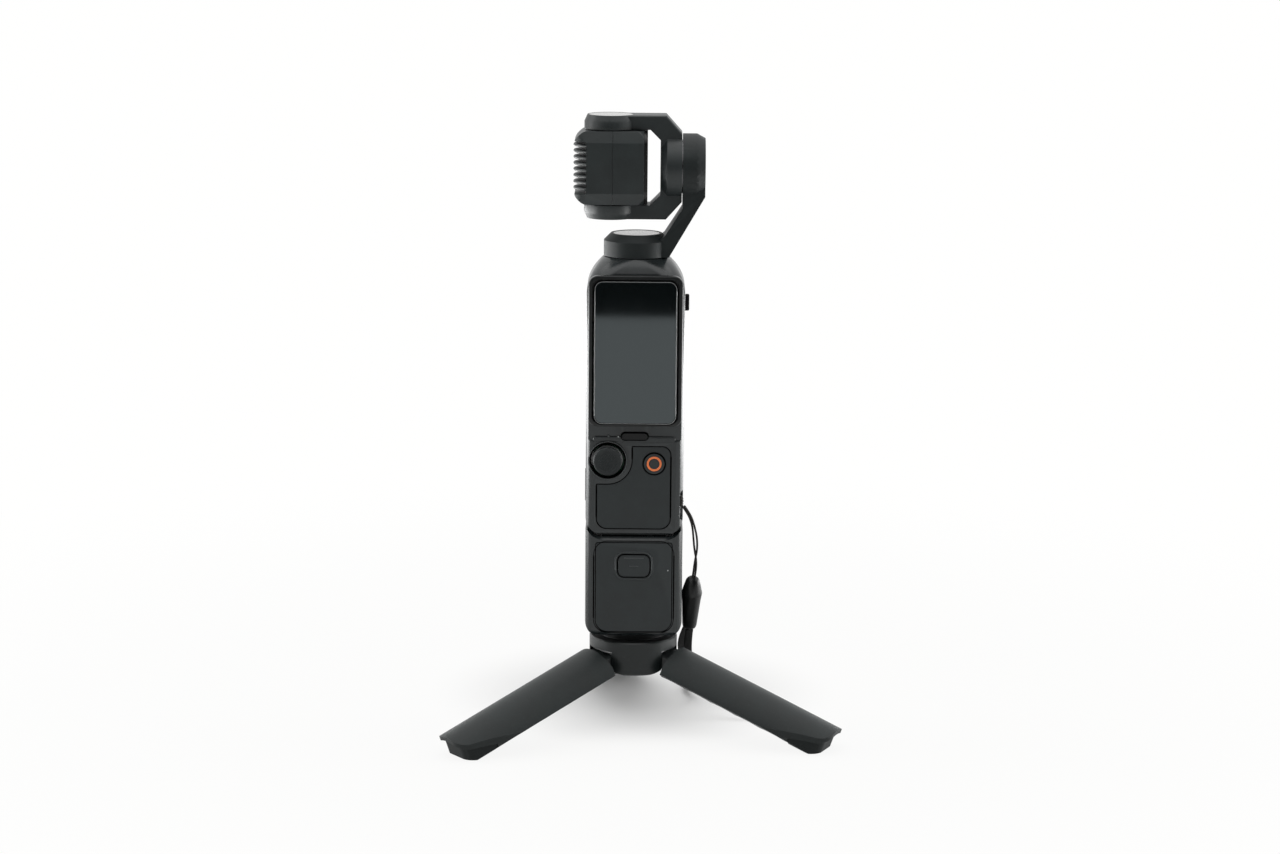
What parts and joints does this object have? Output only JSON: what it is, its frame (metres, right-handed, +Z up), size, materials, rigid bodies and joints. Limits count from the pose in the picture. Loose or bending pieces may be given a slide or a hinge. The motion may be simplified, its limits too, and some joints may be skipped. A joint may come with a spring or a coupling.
{
  "type": "gimbal camera",
  "caption": "Pocket gimbal camera, folded, with a portrait touch screen, thumb stick and record key, on a latching handle and a small three-legged table stand, with a wrist strap.",
  "frame": {"origin": "on the floor under the pan axis, midway between the three feet", "axes": "+Z up along the pan axis, screen facing -Y, roll motor and wrist strap on the +X side"},
  "size_m": [0.1332, 0.1227, 0.2076],
  "materials": {
    "case_plastic": "fine satin moulded plastic",
    "panel_plastic": "fine matte moulded plastic",
    "button_plastic": "smooth satin plastic",
    "window_plastic": "smoked translucent plastic",
    "stand_plastic": "matte moulded plastic",
    "leg_plastic": "soft satin moulded plastic",
    "soft_rubber": "matte rubber",
    "stick_rubber": "finely dimpled rubber",
    "sleeve_rubber": "smooth soft rubber",
    "screw_steel": "turned steel",
    "plug_steel": "bright stamped steel",
    "brass_insert": "turned brass",
    "frame_alloy": "pressed alloy sheet",
    "gimbal_alloy": "satin black painted alloy",
    "motor_alloy": "machined alloy",
    "cap_disc": "turned disc under clear satin coat",
    "head_plastic": "fine matte moulded plastic",
    "lens_ring": "satin black anodised",
    "lens_glass": "coated optical glass",
    "screen_frame": "satin black bezel",
    "screen_glass": "polished dark cover glass",
    "display_black": "unlit display",
    "ring_orange": "orange moulded ring",
    "card_plastic": "matte card",
    "battery_wrap": "shrink wrap",
    "board_green": "circuit board lacquer",
    "strap_cord": "braided cord",
    "strap_fabric": "woven webbing"
  },
  "bodies": {
    "camera_body": {"stand_hub": "stand_plastic", "stand_screw": "screw_steel", "stand_pad": "soft_rubber", "hinge_pins": "screw_steel", "handle_shell": "case_plastic", "handle_front_plate": "panel_plastic", "thread_insert": "brass_insert", "usb_plug": "plug_steel", "body_front_shell": "case_plastic", "body_rear_shell": "case_plastic", "control_panel": "panel_plastic", "status_window": "window_plastic", "chassis_frame": "frame_alloy", "battery_cell": "battery_wrap", "main_board": "board_green", "usb_socket": "plug_steel", "dome_switches": "plug_steel", "card_socket": "plug_steel", "lanyard_pin": "screw_steel", "pan_stator": "motor_alloy", "strap_cord_left": "strap_cord", "strap_cord_right": "strap_cord", "strap_sleeve": "sleeve_rubber", "strap_webbing": "strap_fabric"},
    "left_leg": {"leg_shell_1": "leg_plastic", "leg_frame_1": "stand_plastic", "foot_pad_1": "soft_rubber"},
    "right_leg": {"leg_shell_2": "leg_plastic", "leg_frame_2": "stand_plastic", "foot_pad_2": "soft_rubber"},
    "rear_leg": {"leg_shell_3": "leg_plastic", "leg_frame_3": "stand_plastic", "foot_pad_3": "soft_rubber"},
    "release": {"release_button": "panel_plastic"},
    "left_latch": {"latch_left": "frame_alloy"},
    "right_latch": {"latch_right": "frame_alloy"},
    "stick_slide": {"stick_carrier": "frame_alloy"},
    "stick_tilt": {"stick_rocker": "frame_alloy"},
    "stick": {"stick_cap": "stick_rubber"},
    "record_key": {"record_button": "button_plastic", "record_ring": "ring_orange"},
    "side_button": {"side_key": "button_plastic"},
    "card": {"memory_card": "card_plastic"},
    "screen": {"screen_tray": "screen_frame", "screen_glass": "screen_glass", "display_panel": "display_black", "screen_pivot": "frame_alloy"},
    "pan_stage": {"pan_arm": "gimbal_alloy", "pan_cap": "cap_disc", "pan_rotor": "motor_alloy", "roll_stator": "motor_alloy"},
    "roll_stage": {"yoke": "gimbal_alloy", "yoke_caps": "cap_disc", "roll_rotor": "motor_alloy", "tilt_stator": "motor_alloy"},
    "camera_head": {"head_front": "head_plastic", "head_rear": "head_plastic", "lens_barrel": "lens_ring", "lens_glass": "lens_glass", "sensor_board": "board_green"}
  },
  "joints": [
    {"name": "left_leg_fold", "type": "hinge", "parent": "camera_body", "child": "left_leg", "pos_m": [-0.00773, -0.00552, 0.0267], "axis": [0.5807, -0.8141, 0], "range_deg": [0, 69.7]},
    {"name": "right_leg_fold", "type": "hinge", "parent": "camera_body", "child": "right_leg", "pos_m": [0.00864, -0.00394, 0.0267], "axis": [0.4147, 0.91, 0], "range_deg": [0, 69.7]},
    {"name": "rear_leg_fold", "type": "hinge", "parent": "camera_body", "child": "rear_leg", "pos_m": [-0.00091, 0.00946, 0.0267], "axis": [-0.9954, -0.0958, 0], "range_deg": [0, 69.7]},
    {"name": "pan", "type": "hinge", "parent": "camera_body", "child": "pan_stage", "pos_m": [0, 0, 0.161], "axis": [0, 0, 1], "range_deg": [-150, 150]},
    {"name": "roll", "type": "hinge", "parent": "pan_stage", "child": "roll_stage", "pos_m": [0.0148, 0, 0.1905], "axis": [1, 0, 0], "range_deg": [-130, 150]},
    {"name": "tilt", "type": "hinge", "parent": "roll_stage", "child": "camera_head", "pos_m": [-0.0087, 0, 0.1905], "axis": [0, 0, 1], "range_deg": [0, 278]},
    {"name": "screen_swivel", "type": "hinge", "parent": "camera_body", "child": "screen", "pos_m": [0.00495, -0.01405, 0.136], "axis": [0, 1, 0], "range_deg": [0, 90]},
    {"name": "stick_press", "type": "slide", "parent": "camera_body", "child": "stick_slide", "axis": [0, 1, 0], "range_m": [0, 0.0004], "stiffness_N_per_m": 300},
    {"name": "stick_up_down", "type": "hinge", "parent": "stick_slide", "child": "stick_tilt", "pos_m": [-0.0089, -0.0135, 0.0943], "axis": [1, 0, 0], "range_deg": [-10, 10], "stiffness_Nm_per_rad": 0.02},
    {"name": "stick_left_right", "type": "hinge", "parent": "stick_tilt", "child": "stick", "pos_m": [-0.0089, -0.0135, 0.0943], "axis": [0, 0, 1], "range_deg": [-10, 10], "stiffness_Nm_per_rad": 0.02},
    {"name": "record_press", "type": "slide", "parent": "camera_body", "child": "record_key", "axis": [0, 1, 0], "range_m": [0, 0.0005], "stiffness_N_per_m": 300},
    {"name": "side_key_press", "type": "slide", "parent": "camera_body", "child": "side_button", "axis": [-1, 0, 0], "range_m": [0, 0.0005], "stiffness_N_per_m": 300},
    {"name": "release_press", "type": "slide", "parent": "camera_body", "child": "release", "axis": [0, 1, 0], "range_m": [0, 0.0012], "stiffness_N_per_m": 300},
    {"name": "left_latch_slide", "type": "slide", "parent": "camera_body", "child": "left_latch", "axis": [1, 0, 0], "range_m": [0, 0.0012]},
    {"name": "right_latch_slide", "type": "slide", "parent": "camera_body", "child": "right_latch", "axis": [-1, 0, 0], "range_m": [0, 0.0012]},
    {"name": "card_eject", "type": "slide", "parent": "camera_body", "child": "card", "axis": [-1, 0, 0], "range_m": [0, 0.012]}
  ],
  "couplings": [
    {"joint": "left_latch_slide", "follows": "release_press", "ratio": 1},
    {"joint": "right_latch_slide", "follows": "release_press", "ratio": 1}
  ]
}
